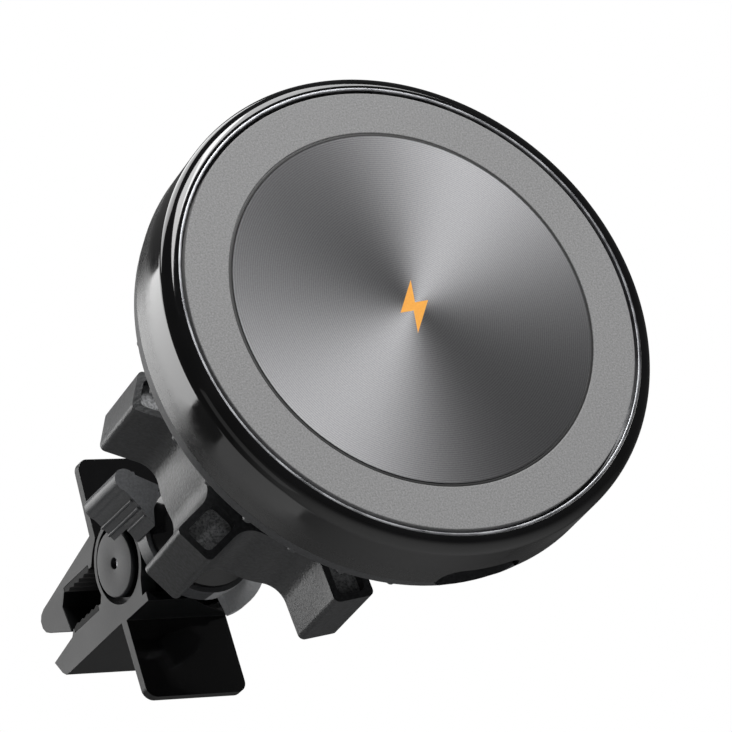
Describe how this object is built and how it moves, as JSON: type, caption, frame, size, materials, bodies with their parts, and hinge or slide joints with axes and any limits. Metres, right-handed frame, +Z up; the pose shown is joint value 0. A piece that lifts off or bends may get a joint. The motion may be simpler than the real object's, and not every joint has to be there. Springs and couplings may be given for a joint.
{
  "type": "car phone mount",
  "caption": "Round magnetic charging pad on a ball joint with a lobed collar nut and a sprung air-vent clip.",
  "frame": {"origin": "centre of the phone face", "axes": "face looks along -Y, +Y towards the dashboard, +Z up, charging inlet at -Z"},
  "size_m": [0.0624, 0.0945, 0.0624],
  "materials": {
    "bezel_gloss": "gloss black polycarbonate",
    "trim_bright": "bright turned trim",
    "face_soft": "fine-grained soft-touch elastomer",
    "accent_black": "matte black inlay",
    "face_spun": "spun-finish anodised dark grey",
    "mark_orange": "orange print",
    "coil_copper": "enamelled copper winding",
    "ferrite": "pressed ferrite",
    "magnets": "nickel-plated magnet",
    "shunt_steel": "zinc-plated steel",
    "board": "solder mask",
    "socket_steel": "drawn stainless shell",
    "cover_satin": "satin moulded ABS",
    "screws": "black zinc screw",
    "joint_nylon": "glass-filled nylon",
    "liner_acetal": "natural acetal",
    "collar_matte": "fine spark-textured nylon",
    "stud_plastic": "smooth nylon",
    "neck_gloss": "polished ABS",
    "ring_satin": "satin ABS",
    "lever_satin": "semi-gloss ABS",
    "jaw_rubber": "matte elastomer",
    "pin_steel": "ground steel",
    "cap_satin": "satin ABS",
    "spring_wire": "drawn spring wire"
  },
  "bodies": {
    "clip": {"clip_neck": "neck_gloss", "ball_stud": "stud_plastic", "pivot_pin": "pin_steel", "pivot_cap_left": "cap_satin", "pivot_cap_right": "cap_satin", "torsion_spring": "spring_wire"},
    "upper_lever": {"upper_lever": "lever_satin", "upper_jaw_pad": "jaw_rubber"},
    "lower_lever": {"lower_lever": "lever_satin", "lower_jaw_pad": "jaw_rubber"},
    "lock_ring": {"lock_ring": "ring_satin"},
    "tilt_liner": {"liner_rear": "liner_acetal"},
    "pan_liner": {"liner_front": "liner_acetal"},
    "pad": {"front_bezel": "bezel_gloss", "trim_ring": "trim_bright", "face_ring": "face_soft", "accent_ring": "accent_black", "face_disc": "face_spun", "charge_mark": "mark_orange", "charging_coil": "coil_copper", "ferrite_sheet": "ferrite", "magnet_ring": "magnets", "shunt_plate": "shunt_steel", "circuit_board": "board", "usb_c_socket": "socket_steel", "back_cover": "cover_satin", "cover_screws": "screws", "ball_socket": "joint_nylon"},
    "collar": {"collar_nut": "collar_matte"}
  },
  "joints": [
    {"name": "ball_tilt", "type": "hinge", "parent": "clip", "child": "tilt_liner", "pos_m": [0, 0.044, 0], "axis": [1, 0, 0], "range_deg": [-15, 15]},
    {"name": "ball_pan", "type": "hinge", "parent": "tilt_liner", "child": "pan_liner", "pos_m": [0, 0.044, 0], "axis": [0, 0, 1], "range_deg": [-12, 15]},
    {"name": "pad_spin", "type": "hinge", "parent": "pan_liner", "child": "pad", "pos_m": [0, 0.044, 0], "axis": [0, 1, 0], "continuous": true},
    {"name": "collar_turn", "type": "hinge", "parent": "pad", "child": "collar", "pos_m": [0, 0.044, 0], "axis": [0, 1, 0], "range_deg": [0, 270]},
    {"name": "lock_turn", "type": "hinge", "parent": "clip", "child": "lock_ring", "pos_m": [-0.0023, 0.06276, 0.00011], "axis": [-0.1217, 0.9926, 0.0057], "range_deg": [-20, 0]},
    {"name": "upper_lever_open", "type": "hinge", "parent": "clip", "child": "upper_lever", "pos_m": [-0.00339, 0.07209, 0.00076], "axis": [0.9881, 0.1217, -0.0939], "range_deg": [0, 12], "stiffness_Nm_per_rad": 0.15, "springref_deg": -20.05, "deforming": ["torsion_spring"]},
    {"name": "lower_lever_open", "type": "hinge", "parent": "clip", "child": "lower_lever", "pos_m": [-0.00339, 0.07209, 0.00076], "axis": [-0.9881, -0.1217, 0.0939], "range_deg": [0, 12], "stiffness_Nm_per_rad": 0.15, "springref_deg": -20.05}
  ],
  "couplings": [
    {"joint": "lower_lever_open", "follows": "upper_lever_open", "ratio": 1}
  ]
}
